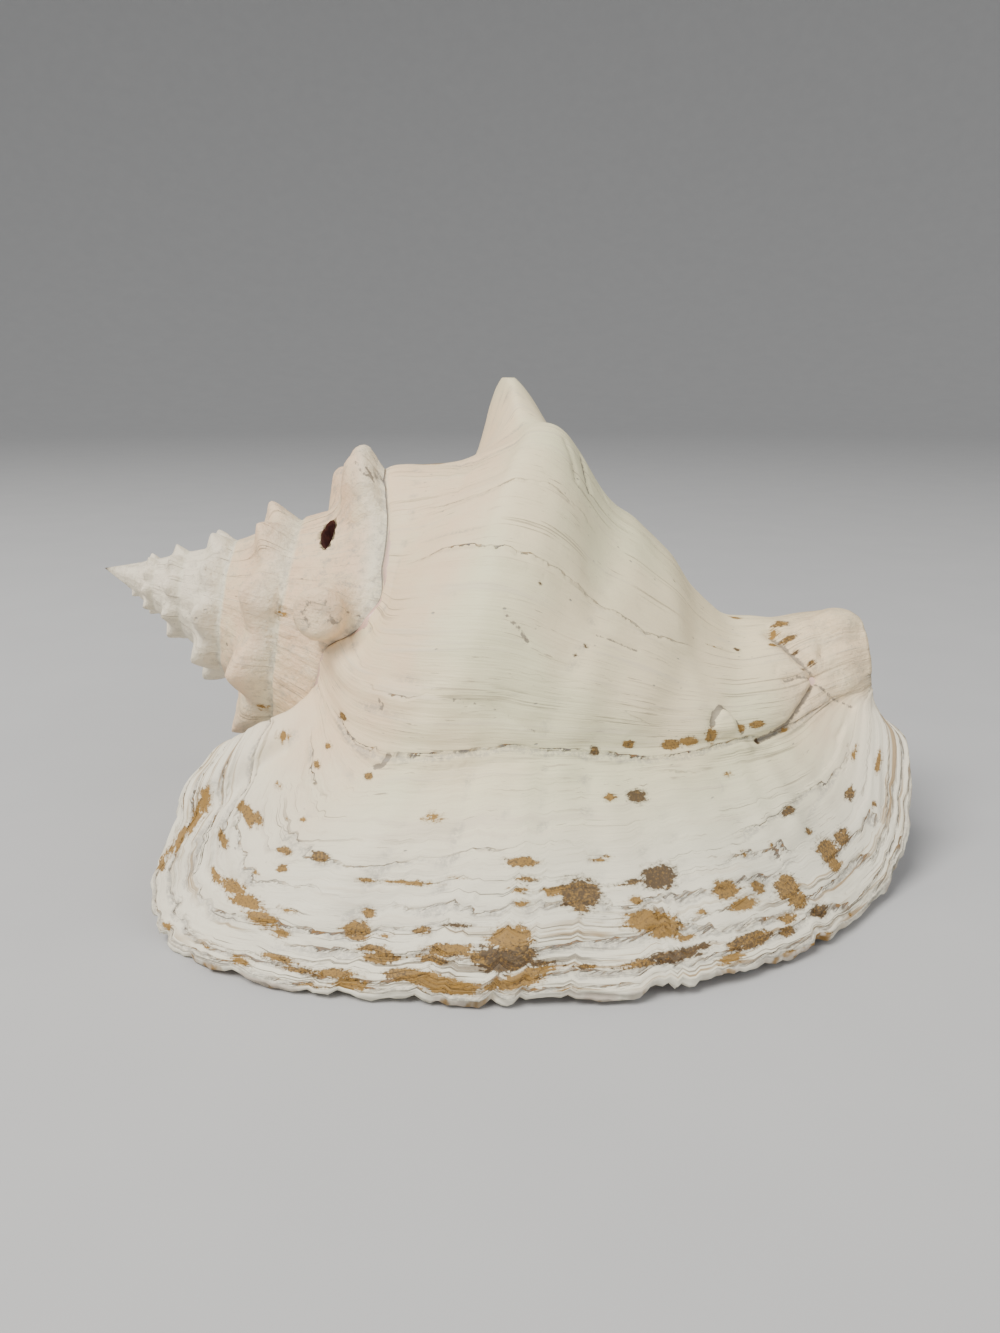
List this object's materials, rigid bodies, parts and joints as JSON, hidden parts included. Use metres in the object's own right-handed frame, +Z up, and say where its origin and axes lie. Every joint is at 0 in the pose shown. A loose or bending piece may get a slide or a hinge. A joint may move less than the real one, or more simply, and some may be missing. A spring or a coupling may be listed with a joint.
{
  "type": "conch shell",
  "caption": "Large spined sea snail shell lying on its aperture, with a tall spire, a wide flared lip and an upturned canal.",
  "frame": {"origin": "centre of the shell's footprint at the level of the table it lies on", "axes": "+Z up as the shell lies, +X from the tip of the spire to the end of the canal, -Y to the flared lip"},
  "size_m": [0.249, 0.1968, 0.1431],
  "materials": {
    "shell": "chalky bleached shell, glossy inside the aperture"
  },
  "bodies": {
    "root": {"shell": "shell"}
  },
  "joints": []
}
